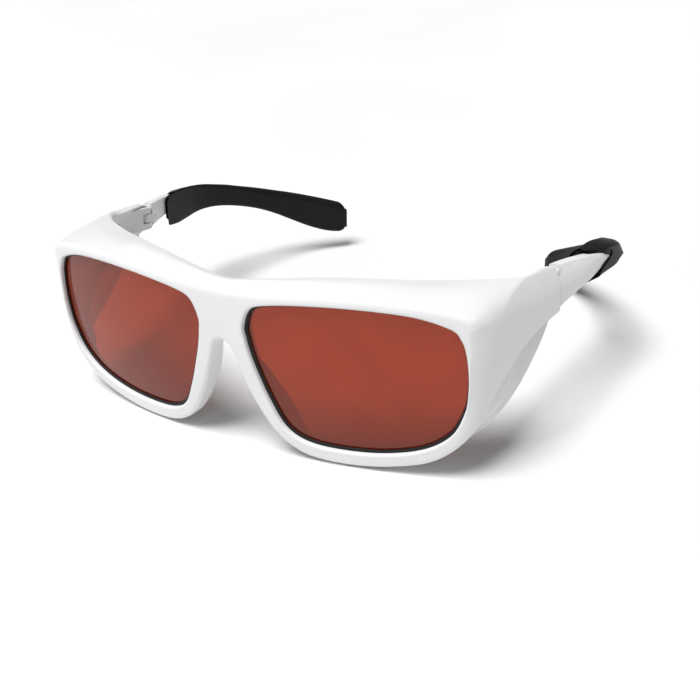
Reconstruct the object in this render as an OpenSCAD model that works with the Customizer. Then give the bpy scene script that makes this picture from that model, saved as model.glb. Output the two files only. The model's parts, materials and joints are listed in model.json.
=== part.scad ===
// Laser safety glasses: a one-piece hooded front with two filter lenses, side shields,
// folding temples and bendable soft tips. Drawn as worn, then tilted to stand on a table.
// X runs to the wearer's left, Y to the back of the head and Z up, in millimetres.

/* [Front] */
// Width of the front between its two outer corners
front_w = 152; // [148:0.5:158]
// Radius that the front bends round the face, seen from above
wrap_r = 240; // [200:5:400]
// Radius of the front's face from top to bottom
face_r = 320; // [240:10:600]
// Lean of the front's face, bottom edge towards the face, in degrees
face_tilt = 3.1; // [0:0.1:8]
// Height from the top of the bridge down to the nose arch
bridge_h = 16.1; // [13:0.1:18]
// Depth of the rim from its face to its back
rim_depth = 6.2; // [5.8:0.1:8]
// Wall of the hood and of the side walls
wall_t = 2.2; // [1.6:0.1:2.6]
// Rounding of the edge where the face turns into the hood
brow_round = 2.2; // [1.2:0.1:2.6]
// Rounding of the corner where the face turns into the side
corner_round = 6; // [3:0.1:8]
// Rounding of the lower and nose edges of the rim
rim_round = 1.4; // [0.6:0.1:1.6]
// Height of the hood's dome over a straight line
hood_dome = 0.9; // [0:0.1:2]

/* [Lens] */
// Width of one lens opening
lens_w = 64.4; // [60:0.1:66]
// Height of one lens opening
lens_h = 46.1; // [42:0.1:48]
// Distance between the two lens openings
lens_gap = 15.6; // [14:0.1:18]
// Thickness of the filter lens
lens_t = 2.2; // [1.6:0.1:2.4]
// Width of the band of seal that shows inside the opening
seal_show = 1; // [0.4:0.1:1.6]
// Thickness of the seal's flanges and web
seal_t = 0.5; // [0.3:0.05:0.6]
// Thickness of the rim in front of the seal
lip_t = 1.5; // [1:0.1:1.8]
// Depth of the groove that holds the seal
groove = 1.3; // [1.1:0.1:1.5]
// Gap left between pieces that are pushed together
fit_gap = 0.08; // [0.05:0.01:0.12]

/* [Side] */
// Outward splay of the side walls and temples, in degrees
splay = 6.8; // [4:0.1:9]
// Distance from the bridge back to the seam of the temple
seam_y = 59.6; // [56:0.1:64]
// Width of the seam between the front and the temple
seam_gap = 0.3; // [0.25:0.05:0.5]
// Thickness of the side shield's panel
shield_t = 1.4; // [1:0.1:2]

/* [Nose] */
// How far the nose flange stands out behind the rim
flange_depth = 5.4; // [3:0.2:8]
// Thickness of the nose flange
flange_t = 2; // [1.5:0.1:2.3]
// Sideways splay of the nose flange's back edge
flange_splay = 2; // [1:0.5:3]

/* [Hinge] */
// Radius of the hinge's knuckles
knuckle_r = 2.6; // [2.4:0.1:2.8]
// Distance of the hinge's axis in from the outer wall
hinge_in = 4.4; // [4.2:0.1:5]
// Distance of the hinge's axis behind the seam
hinge_back = 1.2; // [0.8:0.1:1.6]
// Height of the upper knuckle
ear_h = 2.2; // [2:0.1:2.6]
// Height of the temple's own knuckle
knuckle_h = 3; // [2.4:0.1:3.4]
// Height of the lower knuckle
low_ear_h = 2.2; // [2:0.1:2.6]
// Radius of the hinge screw's shank
screw_r = 0.9; // [0.7:0.05:1]
// Running clearance round the screw
run_gap = 0.05; // [0.02:0.01:0.08]
// Radius of the screw's head
head_r = 1.6; // [1.4:0.1:1.8]
// Height of the screw's head
head_h = 0.9; // [0.6:0.1:1.1]
// Radius of the threaded insert
insert_r = 1.6; // [1.4:0.1:1.8]
// Height of the threaded insert
insert_h = 1.5; // [1.2:0.1:1.7]

/* [Temple] */
// Distance from the bridge back to the end of the temple's body, inside the tip
temple_end = 94.8; // [93:0.2:98]
// Height of the temple at the seam
temple_h = 12; // [11.6:0.1:13]
// Height of the temple at its end
temple_end_h = 3.2; // [3:0.1:5]
// How far the temple bows outwards from the side wall's line
temple_bow = 1; // [0:0.1:1.4]
// Thickness of the temple at the seam
temple_t = 7; // [6.6:0.1:7.4]
// Thickness of the temple at its end
temple_end_t = 3.6; // [3.2:0.1:4]

/* [Tip] */
// Distance from the bridge back to the front end of the tip's inner wall
mouth_y = 75; // [74:0.5:78]
// Distance from the bridge back to where the tip starts to turn inwards
curl_y = 89.5; // [88:0.5:92]
// Length of the tip along its curve, from where it starts to turn
tip_len = 80; // [74:1:90]
// How far the tip turns inwards over its length, in degrees
tip_turn = 54; // [35:1:60]
// Thickness of the tip's paddle
paddle_t = 4.2; // [3.4:0.1:5]
// How far the tip's inner wall lies in from the temple's outer face
lap = 6.4; // [6.2:0.1:7]
// How far the collar stands out over the temple's outer face
proud = 0.6; // [0.5:0.1:1]
// How much further the left tip's end is bent down
bend_left = 9; // [0:0.5:10]
// How much further the right tip's end is bent down
bend_right = 0; // [0:0.5:10]
// Width of the bendable core strip
core_w = 1.6; // [1.2:0.1:1.8]
// Thickness of the bendable core strip
core_t = 1; // [0.6:0.1:1.2]

/* [Hidden] */
$fn = 48;

white = [0.93, 0.93, 0.94];
black = [0.08, 0.08, 0.08];
amber = [0.72, 0.24, 0.12, 0.75];
steel = [0.7, 0.7, 0.72];
brass = [0.8, 0.65, 0.3];

half_w = front_w / 2;
corner_y = 13;
slip = 0.01;

// Depth of the face behind the bridge, at a place on the front seen from ahead
function face_y(x, z) = wrap_r - sqrt(wrap_r * wrap_r - x * x)
    + z * z / (2 * face_r) - z * tan(face_tilt);
// Where the outer wall stands at a distance behind the bridge
function wall_x(y) = half_w + (y - corner_y) * tan(splay);

function mix(a, b, u) = a + (b - a) * u;
function unit(v) = v / norm(v);
// Smooth curves through points: one that closes on itself, and one with two ends
function cubic(a, b, c, d, u) = 0.5 * (2 * b + (c - a) * u
    + (2 * a - 5 * b + 4 * c - d) * u * u + (3 * b - a - 3 * c + d) * u * u * u);
function loop_at(p, s) = let (n = len(p), i = floor(s))
    cubic(p[(i + n - 1) % n], p[i % n], p[(i + 1) % n], p[(i + 2) % n], s - i);
function line_at(p, s, before, after) = let (n = len(p), i = min(n - 2, max(0, floor(s))))
    cubic(i == 0 ? before : p[i - 1], p[i], p[i + 1], i == n - 2 ? after : p[i + 2], s - i);
function ends_at(p, s) = line_at(p, s, 2 * p[0] - p[1],
    2 * p[len(p) - 1] - p[len(p) - 2]);

// Lens opening: shares of its width out from the nose and of its height down from the top
lens_top = 1.6;
lens_shape = [[0.039, 0.1], [0.127, 0.054], [0.329, 0.017], [0.562, 0], [0.78, 0.011],
    [0.927, 0.065], [0.969, 0.128], [0.988, 0.208], [0.998, 0.328], [0.998, 0.458],
    [0.984, 0.599], [0.927, 0.772], [0.811, 0.898], [0.637, 0.972], [0.438, 1],
    [0.267, 0.985], [0.163, 0.902], [0.096, 0.722], [0.048, 0.54], [0.019, 0.41],
    [0.005, 0.312], [0, 0.219]];
lens_pts = [for (p = lens_shape) [lens_gap / 2 + p.x * lens_w, lens_top - p.y * lens_h]];

// Rim round the opening: from the bridge's top over the outer corner and back to the nose arch
bridge_top = 1.8;
nose_arch = bridge_top - bridge_h;
over = [[-2, 3.3], [0, 3], [1, 3.1], [3, 3.1]];
side = [[-4.5, 3.9], [-1.4, 4.5], [-0.1, 4], [0.1, 2.5], [-0.1, 0.5], [-1.4, -2], [-5.5, -2.5]];
under = [[2.5, -3.6], [1.2, -4.3], [0, -4.7], [-1, -4.4], [-2.7, -3], [-4.4, -1.8],
    [-5.3, -0.7], [-6.2, 1.3]];
rim_pts = concat([[0, bridge_top]],
    [for (i = [0:3]) lens_pts[1 + i] + over[i]],
    [for (i = [0:6]) [half_w + side[i].x, lens_pts[5 + i].y + side[i].y]],
    [for (i = [0:7]) lens_pts[12 + i] + under[i]],
    [[0, nose_arch]]);
last = len(rim_pts) - 1;
turns = len(lens_pts);

// Heights of the temple at the seam, and of the hinge's knuckles
temple_top = 3.4;
temple_low = temple_top - temple_h;
ear_top = temple_top - 0.6;
ear_low = ear_top - ear_h;
pin_top = ear_low - seam_gap;
pin_low = pin_top - knuckle_h;
foot_top = pin_low - seam_gap;
foot_low = foot_top - low_ear_h;
hinge_y = seam_y + hinge_back;
hinge_x = wall_x(hinge_y) - hinge_in;

// Back edge of the hood and of the side wall, met point by point by the rim's outline
past_seam = seam_y + 3.4;
hood_edge = [[0, 6.2, 4], [0.171, 8.9, 4.9], [0.355, 12.8, 6.3], [0.54, 19, 6.3],
    [0.71, 25, 6.2], [0.888, 33.5, 6.2], [1.016, 45, 5.2]];
wall_edge = [[-9.6, -10.8], [-23.6, -14.8], [-33.6, -26.5]];
back_pts = concat([for (p = hood_edge) [p.x * half_w, p.y, p.z]],
    [for (z = [temple_top - 0.4, temple_low]) [wall_x(past_seam), past_seam, z]],
    [for (p = wall_edge) [wall_x(seam_y + p.x), seam_y + p.x, p.y]],
    [for (i = [12:last]) [rim_pts[i].x, face_y(rim_pts[i].x, rim_pts[i].y) + rim_depth,
        rim_pts[i].y]]);

// Places along the outlines, by number: up to last they follow the rim, then cross the bridge
function opening(s) = loop_at(lens_pts, s);
function rim(s) = line_at(rim_pts, s, [-rim_pts[1].x, rim_pts[1].y],
    [-rim_pts[last - 1].x, rim_pts[last - 1].y]);
function back(s) = line_at(back_pts, s, [-back_pts[1].x, back_pts[1].y, back_pts[1].z],
    [-back_pts[last - 1].x, back_pts[last - 1].y, back_pts[last - 1].z]);
function outward(d) = unit([-d.y, d.x]);
function opening_out(s) = outward(opening(s + slip) - opening(s + turns - slip));
function rim_out(s) = s < slip ? [0, 1] : s > last - slip ? [0, -1]
    : outward(rim(s + slip) - rim(s - slip));
// A point on the front: a place seen from ahead, and how deep it lies behind the face
function set_in(p, d) = [p.x, face_y(p.x, p.y) + d, p.y];
function near_opening(s, r, d) = set_in(opening(s) + opening_out(s) * r, d);

groove_w = lens_t + 2 * seal_t + 4 * fit_gap;
groove_end = lip_t + groove_w;
lip_round = 0.4;

// How wide the rounded edge is on the face and on the hood, softest at the outer corner
function ease(a, b, u) = let (t = min(1, max(0, (u - a) / (b - a)))) t * t * (3 - 2 * t);
function on_side(s) = ease(4.5, 7, s) * (1 - ease(9.5, 12, s));
function on_top(s) = 1 - ease(5, 7, s);
function face_round(s) = mix(mix(rim_round, brow_round, on_top(s)), 3.4, on_side(s));
function skin_round(s) = mix(mix(rim_round, brow_round, on_top(s)), corner_round, on_side(s));
function dome(s, u) = hood_dome * on_top(s) * ease(0, 1.2, s + 0.6) * sin(180 * u);

// Points of the rim's section at a place: face, rounded edge, hood, and back to the lens groove
edge_n = 4;
skin_n = 6;
function corner_pt(s, u) = let (q = rim(s), n = rim_out(s), a = set_in(q - n * face_round(s), 0),
        b = set_in(q, 0), far = back(s), c = b + unit(far - b) * skin_round(s))
    a * (1 - u) * (1 - u) + b * 2 * u * (1 - u) + c * u * u;
function skin_pt(s, u) = let (n = rim_out(s), a = corner_pt(s, 1), b = back(s))
    mix(a, b, u) + [n.x, 0, n.y] * dome(s, u);
function inner_pt(s, u) = let (n = rim_out(s), q = set_in(rim(s) - n * wall_t, rim_depth),
        b = back(s) - [n.x, 0, n.y] * wall_t - [0, 0.02, 0])
    mix(b, q, u) + [n.x, 0, n.y] * dome(s, u);
function rim_section(s) = concat(
    [near_opening(s, 0, lip_t), near_opening(s, 0, lip_round), near_opening(s, lip_round, 0),
        set_in(mix(opening(s), rim(s) - rim_out(s) * face_round(s), 0.55), 0)],
    [for (i = [0:edge_n]) corner_pt(s, i / edge_n)],
    [for (i = [1:skin_n]) skin_pt(s, i / skin_n)],
    [for (i = [0:skin_n]) inner_pt(s, i / skin_n)],
    [near_opening(s, groove + 0.3, rim_depth), near_opening(s, 0, rim_depth - 0.2),
        near_opening(s, 0, groove_end), near_opening(s, groove, groove_end),
        near_opening(s, groove, lip_t)]);
section_n = 4 + edge_n + 1 + skin_n + skin_n + 1 + 5;
mid_a = 4;
mid_b = 4 + edge_n + skin_n + skin_n + 1;

// Over the bridge the rim has no outer edge, and its section ends on the plane of symmetry
function bridge_section(s) = let (u = (s - last) / (turns - last), p = rim_section(last),
        q = rim_section(0), own = rim_section(last),
        front = mix(p[mid_a].z, q[mid_a].z, u), rear = mix(p[mid_b].z, q[mid_b].z, u),
        a = set_in([0, front], 0), b = set_in([0, rear], rim_depth))
    concat([near_opening(s, 0, lip_t), near_opening(s, 0, lip_round),
            near_opening(s, lip_round, 0), set_in(mix(opening(s), [0, front], 0.55), 0)],
        [for (i = [mid_a:mid_b - 1]) a], [b],
        [near_opening(s, groove + 0.3, rim_depth), near_opening(s, 0, rim_depth - 0.2),
            near_opening(s, 0, groove_end), near_opening(s, groove, groove_end),
            near_opening(s, groove, lip_t)]);

cuts = 3;
places = [for (i = [0:turns * cuts - 1]) i / cuts];
sections = [for (s = places) s <= last ? rim_section(s) : bridge_section(s)];
// A point on the plane of symmetry belongs to both halves, and its x is nought
function on_mid(c, j) = j >= mid_a && j <= mid_b && (places[c] >= last || c == 0);
function crosses(c, j) = j >= mid_a && j < mid_b && (places[c] >= last);
function tidy_pt(c, j) = let (p = sections[c][j]) on_mid(c, j) ? [0, p.y, p.z] : p;
front_n = len(places) * section_n;
function front_at(half, c, j) = (half == 1 && !on_mid(c, j) ? front_n : 0) + c * section_n + j;

module front_shell() {
    pts = [for (c = [0:len(places) - 1]) for (j = [0:section_n - 1]) tidy_pt(c, j)];
    flipped = [for (p = pts) [-p.x, p.y, p.z]];
    quads = [for (half = [0, 1]) for (c = [0:len(places) - 1]) for (j = [0:section_n - 1])
        if (!crosses(c, j)) let (d = (c + 1) % len(places), k = (j + 1) % section_n,
            q = [front_at(half, c, j), front_at(half, c, k), front_at(half, d, k),
                front_at(half, d, j)])
        half == 0 ? q : [q[3], q[2], q[1], q[0]]];
    polyhedron(points = concat(pts, flipped),
        faces = [for (q = quads) for (f = [[q[0], q[1], q[2]], [q[0], q[2], q[3]]]) f]);
}

// A closed ring of equal sections, and a bar of equal sections with flat ends
module ring_solid(rows) {
    n = len(rows);
    m = len(rows[0]);
    polyhedron(points = [for (r = rows) for (p = r) p],
        faces = [for (i = [0:n - 1]) for (j = [0:m - 1])
            let (a = i * m + j, b = i * m + (j + 1) % m, c = (i + 1) % n * m + (j + 1) % m,
                d = (i + 1) % n * m + j) for (f = [[a, b, c], [a, c, d]]) f]);
}
module bar_solid(rows) {
    n = len(rows);
    m = len(rows[0]);
    mid0 = [for (k = [0:2]) let (r = rows[0]) [for (p = r) 1] * [for (p = r) p[k]] / m];
    mid1 = [for (k = [0:2]) let (r = rows[n - 1]) [for (p = r) 1] * [for (p = r) p[k]] / m];
    polyhedron(points = concat([for (r = rows) for (p = r) p], [mid0, mid1]),
        faces = concat([for (i = [0:n - 2]) for (j = [0:m - 1])
            let (a = i * m + j, b = i * m + (j + 1) % m, c = (i + 1) * m + (j + 1) % m,
                d = (i + 1) * m + j) for (f = [[a, b, c], [a, c, d]]) f],
            [for (j = [0:m - 1]) [(j + 1) % m, j, n * m]],
            [for (j = [0:m - 1]) [(n - 1) * m + j, (n - 1) * m + (j + 1) % m, n * m + 1]]));
}

// Everything is drawn once for the wearer's left, and mirrored for the right
module on_side_of(way) {
    if (way > 0) children();
    else mirror([1, 0, 0]) children();
}

// Lens, and the U-shaped seal that holds it in the groove
lens_edge = groove - fit_gap - seal_t - fit_gap;
lens_front = lip_t + seal_t + 2 * fit_gap;
lens_mid = [lens_gap / 2 + lens_w / 2, lens_top - lens_h * 0.47];
function lens_at(s, u, d) = set_in(mix(lens_mid, opening(s) + opening_out(s) * lens_edge, u), d);
module lens_solid() {
    n = len(places);
    rings = [[0.35, lens_t], [0.7, lens_t], [1, lens_t], [1, 0], [0.7, 0], [0.35, 0]];
    m = len(rings);
    pts = [for (r = rings) for (s = places) lens_at(s, r[0], lens_front + r[1])];
    polyhedron(points = concat(pts, [set_in(lens_mid, lens_front + lens_t),
            set_in(lens_mid, lens_front)]),
        faces = concat([for (k = [0:m - 2]) for (i = [0:n - 1]) let (j = (i + 1) % n,
                a = k * n + i, b = k * n + j, c = (k + 1) * n + j, d = (k + 1) * n + i)
            for (f = [[a, b, c], [a, c, d]]) f],
            [for (i = [0:n - 1]) [(i + 1) % n, i, n * m]],
            [for (i = [0:n - 1]) [(m - 1) * n + i, (m - 1) * n + (i + 1) % n, n * m + 1]]));
}
seal_front = lip_t + fit_gap;
seal_back = groove_end - fit_gap;
seal_out = groove - fit_gap;
module seal_solid() {
    ring_solid([for (s = places) [
        near_opening(s, -seal_show, seal_front), near_opening(s, seal_out, seal_front),
        near_opening(s, seal_out, seal_back), near_opening(s, -seal_show * 0.6, seal_back),
        near_opening(s, -seal_show * 0.6, seal_back - seal_t),
        near_opening(s, seal_out - seal_t, seal_back - seal_t),
        near_opening(s, seal_out - seal_t, seal_front + seal_t),
        near_opening(s, -seal_show, seal_front + seal_t)]]);
}

// Panel of the side shield: its upper part lies behind the side wall, its lower part shows
shield_edge = [[-4.6, -10, 1], [-9.4, -12.9, 0.9], [-17.1, -19.6, 0.8], [-25.6, -26.2, 1],
    [-33.6, -31.2, 2.2], [-39.6, -36.2, 5.6]];
shield_n = 12;
shield_gap = 0.2;
module side_shield_solid() {
    rows = [for (k = [0:shield_n]) let (s = mix(8.75, 11.45, k / shield_n), n = rim_out(s),
            e = ends_at(shield_edge, 5 * k / shield_n), y = seam_y + e.x,
            edge = [wall_x(y) - e.z, y, e.y], way = [n.x, 0, n.y],
            line = [inner_pt(s, 0.5) - way * shield_gap, inner_pt(s, 0.22) - way * shield_gap,
                inner_pt(s, 0) - way * shield_gap, edge])
        concat(line, [for (i = [3:-1:0]) line[i] - way * shield_t])];
    bar_solid(rows);
}

// Nose flange: a leaf that grows out of the rim's back beside the nose
flange_from = 15.3;
flange_to = 18.8;
flange_n = 14;
flange_line = [[0, 1], [0.45, 0.96], [0.82, 0.8], [1, 0.35]];
function flange_at(s, deep, v, w) = let (n = rim_out(s), q = rim(s), p = q
        - n * (0.45 + flange_t / 2 + flange_splay * v * v * deep / flange_depth + w * flange_t / 2))
    [p.x, face_y(q.x, q.y) + rim_depth - 0.6 + (deep + 0.6) * v, p.y];
module nose_flange() {
    rows = [for (k = [0:flange_n]) let (u = mix(0.02, 0.98, k / flange_n),
            s = mix(flange_from, flange_to, u), deep = flange_depth * pow(sin(180 * pow(u, 0.75)), 0.8))
        concat([for (v = flange_line) flange_at(s, deep, v[0], -v[1])],
            [for (i = [3:-1:0]) flange_at(s, deep, flange_line[i][0], flange_line[i][1])])];
    bar_solid(rows);
}

// Hinge: places are given across and behind the hinge's axis
knuckle_gap = seam_gap;
web_len = 14;
module at_hinge(z) {
    translate([hinge_x, hinge_y, z]) children();
}
module frame_lug() {
    at_hinge(foot_low) linear_extrude(ear_top - foot_low)
        polygon([[-knuckle_r * 0.94, -knuckle_r * 0.34],
            [hinge_in - wall_t * 0.8 - web_len * tan(splay), -web_len],
            [hinge_in - wall_t * 0.4 - web_len * tan(splay), -web_len],
            [hinge_in - wall_t / 2, -hinge_back], [-knuckle_r * 0.88, -hinge_back]]);
    at_hinge(foot_low) cylinder(r = knuckle_r, h = ear_top - foot_low);
}
module frame_pocket() {
    at_hinge(foot_top) cylinder(r = knuckle_r + knuckle_gap, h = ear_low - foot_top);
    at_hinge(foot_top) translate([-knuckle_r * 1.6, -knuckle_r - 1.2 * knuckle_gap, 0])
        cube([knuckle_r * 1.7, 2.2 * (knuckle_r + knuckle_gap), ear_low - foot_top]);
    at_hinge(foot_low - 1) cylinder(r = screw_r + run_gap, h = ear_top - foot_low + 2);
    at_hinge(ear_top - head_h) cylinder(r = head_r + fit_gap, h = head_h + 1);
    at_hinge(foot_low - 1) cylinder(r = insert_r + fit_gap, h = insert_h + 1);
}
module hinge_screw_solid() {
    at_hinge(foot_low + 0.2) cylinder(r = screw_r, h = ear_top - head_h - foot_low);
    difference() {
        at_hinge(ear_top - head_h) cylinder(r = head_r, h = head_h - 0.1);
        at_hinge(ear_top - 0.5) translate([-head_r - 1, -0.2, 0]) cube([2 * head_r + 2, 0.4, 1]);
    }
}
module hinge_insert_solid() {
    at_hinge(foot_low) difference() {
        cylinder(r = insert_r, h = insert_h);
        translate([0, 0, -1]) cylinder(r = screw_r + run_gap, h = insert_h + 2);
    }
}

// Temple: its section at a distance behind the bridge, seen from behind
function run(y) = (y - seam_y) / (temple_end - seam_y);
function arm_x(y) = wall_x(y) + temple_bow * ease(60, 80, y);
function temple_wide(y) = mix(temple_t, temple_end_t, pow(run(y), 0.75));
function temple_up(y) = temple_top + 2.4 * run(y) - 5.3 * pow(run(y), 1.8);
function temple_high(y) = mix(temple_h, temple_end_h, pow(run(y), 1.2));
function temple_mid(y) = [arm_x(y) - temple_wide(y) / 2, y,
    temple_up(y) - temple_high(y) * 0.5];
temple_soft = 0.7;
temple_nose = 2.4;
function temple_section(y, grow) = let (o = arm_x(y) + grow, t = temple_wide(y) + 2 * grow,
        up = temple_up(y) + grow, low = up - temple_high(y) - 2 * grow,
        lean = mix(1.3, 1.1, run(y)), ridge = up - mix(1.9, 1.4, run(y)),
        r = temple_soft * mix(1, 0.55, run(y)), rise = mix(3, 0.2, run(y)))
    [[o - lean - r, up], [o - lean, up - r * 0.5], [o - 0.25, ridge + 0.8], [o, ridge - 0.8],
        [o, low + r], [o - r * 0.3, low + r * 0.3], [o - r, low], [o - t + r, low + rise],
        [o - t + r * 0.3, low + rise + r * 0.4], [o - t, low + rise + r * 1.4],
        [o - t, up - r * 1.2], [o - t + r * 0.4, up - r * 0.3], [o - t + r * 1.2, up]];
// The same thirteen places on an oblong, for the core's slot in the temple's end
slot_places = [[0.5, 1], [1, 1], [1, 0.5], [1, 0], [1, -0.5], [1, -1], [0.5, -1], [-0.3, -1],
    [-1, -1], [-1, -0.3], [-1, 0.5], [-1, 1], [-0.3, 1]];
module temple_bar(bend) {
    path = core_path(bend);
    slot = [for (s = [0.2, 0.6, 1, 1.5, 2]) core_row(path, s, slot_places, fit_gap)];
    ends = [for (a = [80, 58, 30]) let (y = temple_end - temple_nose * (1 - sin(a)), c = cos(a))
        [for (p = temple_section(y, 0)) let (m = temple_mid(y))
            [mix(m.x, p.x, mix(0.7, 1, c)), y, mix(m.z, p.y, mix(0.7, 1, c))]]];
    rows = [for (k = [9:-1:0]) let (y = mix(seam_y + seam_gap, temple_end - temple_nose, k / 9))
        [for (p = temple_section(y, 0)) [p.x, y, p.y]]];
    bar_solid(concat(slot, ends, rows));
}
module temple_solid(bend) {
    difference() {
        union() {
            difference() {
                temple_bar(bend);
                at_hinge(-20) translate([-20, -10, 0])
                    cube([20 + knuckle_r + knuckle_gap, 10 + knuckle_r + knuckle_gap, 40]);
            }
            at_hinge(pin_low) cylinder(r = knuckle_r, h = knuckle_h);
            at_hinge(pin_low) translate([-knuckle_r, 0, 0])
                cube([2 * knuckle_r + 2 * knuckle_gap, knuckle_r + 1.2, knuckle_h]);
        }
        at_hinge(pin_low - 1) cylinder(r = screw_r + run_gap, h = knuckle_h + 2);
    }
}

// Tip: its inner face lies along the temple, then turns inwards on an arc. Places along it
// are counted in tenths of the arc: 0 is the front end of the inner wall, 2 the arc's start
tip_r = tip_len / (tip_turn * PI / 180);
curl_x = arm_x(curl_y) - lap + 1.2;
function arc_pt(k) = [curl_x - tip_r * (1 - cos(tip_turn * k / 10)),
    curl_y + tip_r * sin(tip_turn * k / 10)];
face_line = concat([for (y = [mouth_y, (mouth_y + curl_y) / 2, curl_y - 0.5])
    [arm_x(y) - lap, y]], [arc_pt(1) - [0.15, 0]], [for (k = [2:10]) arc_pt(k)]);
tip_last = len(face_line) - 1;
function tip_face(t) = ends_at(face_line, t);
function tip_side(t) = let (d = unit(tip_face(t + slip) - tip_face(t - slip))) [d.y, -d.x];

// Heights of the inner face's lower edge and of the outer face's upper edge
tip_lows = [-8.3, -8.9, -8.5, -7.8, -7.75, -8.7, -10.4, -12.7, -15.9, -19.8, -23.4, -25.8, -26.4];
tip_tops = [1.9, 2.1, 2.1, 1.6, 1.3, 0.2, -1.5, -3.2, -5.1, -7, -9.1, -11.3, -13.6];
function at_list(v, t) = ends_at([for (p = v) [0, p]], t).y;
function bent(t, bend) = bend * (pow(max(0, t - 2) / 10, 1.3) - 0.08 * ease(0.5, 3, t));
function slope_low(t) = mix(0.5, 0.33, ease(1, 4, t));
function slope_top(t) = mix(-0.3, 0.3, ease(2, 9, t));
// The collar fills out to the temple's outer face, furthest back at its middle height
function tip_wide(t, off_mid) = let (full = arm_x(tip_face(t).y) - tip_face(t).x + proud)
    mix(full, paddle_t, ease(3.5, 5.5, t + 0.9 * off_mid));

// Places round a rounded oblong of unit size, outer side last
corner_share = [0.82, 0.5, 0.18, -0.18, -0.5, -0.82];
function oblong(w, h, r) = concat(
    [for (k = [0:3]) [w / 2 - r + r * cos(30 * k), h / 2 - r + r * sin(30 * k)]],
    [for (k = [0:3]) [r - w / 2 - r * sin(30 * k), h / 2 - r + r * cos(30 * k)]],
    [for (v = corner_share) [-w / 2, v * (h / 2 - r)]],
    [for (k = [0:3]) [r - w / 2 - r * cos(30 * k), r - h / 2 - r * sin(30 * k)]],
    [for (k = [0:3]) [w / 2 - r + r * sin(30 * k), r - h / 2 - r * cos(30 * k)]],
    [for (v = corner_share) [w / 2, -v * (h / 2 - r)]]);
marks = oblong(2, 2, 0.3);
places_n = len(marks);

// The mouth is cut on a slant, further back outside, and in a U round the temple's end
slant = 1.5;
notch = 1.1;
function cut_at(m) = slant * ease(-1, 1, m.x) + notch * ease(-0.7, 0.4, m.y) * ease(-0.3, 0.9, m.x)
    + (1 - ease(-0.9, 0.2, m.x)) * (m.y > 0.3 ? 0.85 * pow((m.y - 0.3) / 0.7, 2)
        : m.y < -0.6 ? 0.4 * pow((-m.y - 0.6) / 0.4, 2) : 0);
cut_fade = 5;
function tip_pt(bend, row, j, trim, soft) = let (m = marks[j],
        t = row + cut_at(m) * max(0, 1 - row / cut_fade), f = tip_face(t), n = tip_side(t),
        w = tip_wide(t, abs(m.y)), kt = slope_top(t), kl = slope_low(t),
        top = at_list(tip_tops, t) - kt * w, low = at_list(tip_lows, t), h = top - low,
        p = oblong(w - trim, h - 2 * trim, soft)[j], a = w / 2 + p.x, b = 2 * p.y / h)
    [f.x + n.x * a, f.y + n.y * a,
        (top + low) / 2 + p.y + a * (b > 0 ? kt * b : -kl * b) - bent(t, bend)];

// Cup for the temple's end, met at the mouth by the same slant and U
cup_end = temple_end + 1.2;
cup_gap = 0.25;
cup_slope = -0.25;
function cup_y(j, u) = mix(cup_end, mouth_y + 7.2 * cut_at(marks[j]), u);
function cup_pt(j, u) = let (y = cup_y(j, u), at = min(y, temple_end),
        w = temple_wide(at) + 2 * cup_gap, h = temple_high(at) + 2 * cup_gap + 0.5,
        p = oblong(w, h, 0.8)[j], a = w / 2 + p.x)
    [arm_x(y) - temple_wide(at) / 2 + p.x, y, temple_up(at) + cup_gap + 0.5 - h / 2 + p.y
        + a * cup_slope * max(0, 2 * p.y / h)];
tip_round = 4;
tip_n = 20;
tip_ends = [25, 48, 68, 84];
function tip_skin(bend) = concat(
    [for (v = [[0, 0.7], [0.06, 0.2], [0.2, 0]]) [for (j = [0:places_n - 1])
        tip_pt(bend, v[0], j, v[1], 1)]],
    [for (k = [1:tip_n]) [for (j = [0:places_n - 1])
        tip_pt(bend, mix(0.2, tip_last - 0.5, k / tip_n), j, 0, mix(1, 1.6, ease(1, 8, k)))]],
    [for (a = tip_ends) let (d = tip_round * (1 - cos(a))) [for (j = [0:places_n - 1])
        tip_pt(bend, tip_last - 0.5 * (1 - sin(a)), j, min(d, 1.9), 1.4 - 0.25 * d)]]);

// Path of the core, from inside the temple's end to the middle of the paddle
function tip_heart(t, bend) = let (f = tip_face(t), n = tip_side(t),
        a = mix(lap - temple_end_t / 2, paddle_t / 2, ease(3, 5, t)), kt = slope_top(t))
    [f.x + n.x * a, f.y + n.y * a, (at_list(tip_tops, t) - kt * paddle_t + at_list(tip_lows, t)) / 2
        + a * (kt + slope_low(t)) / 4 - bent(t, bend)];
function core_path(bend) = concat([temple_mid(temple_end - 11), temple_mid(temple_end - 5.5),
    temple_mid(temple_end)], [for (t = [3.2, 4, 5, 6, 7, 8, 9.4]) tip_heart(t, bend)]);
core_last = 9;
core_cuts = 2;
core_from = 0.5;
core_corners = [[1, 1], [-1, 1], [-1, -1], [1, -1]];
function core_row(path, s, corners, grow) = let (a = ends_at(path, s), b = ends_at(path, s + slip),
        d = unit([b.x - a.x, b.y - a.y]), n = [d.y, -d.x])
    [for (q = corners)
        [a.x + n.x * q.x * (core_t / 2 + grow), a.y + n.y * q.x * (core_t / 2 + grow),
            a.z + q.y * (core_w / 2 + grow)]];
module core_bar(bend) {
    path = core_path(bend);
    bar_solid([for (s = [core_from:1 / core_cuts:core_last - core_from])
        core_row(path, s, core_corners, 0)]);
}
module tip_solid(bend) {
    path = core_path(bend);
    slot = [for (s = [core_last:-1 / core_cuts:3]) core_row(path, s, marks, 3 * fit_gap)];
    cup = [for (u = [0, 0.3, 0.6, 0.8, 1]) [for (j = [0:places_n - 1]) cup_pt(j, u)]];
    bar_solid(concat(slot, cup, tip_skin(bend)));
}

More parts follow.
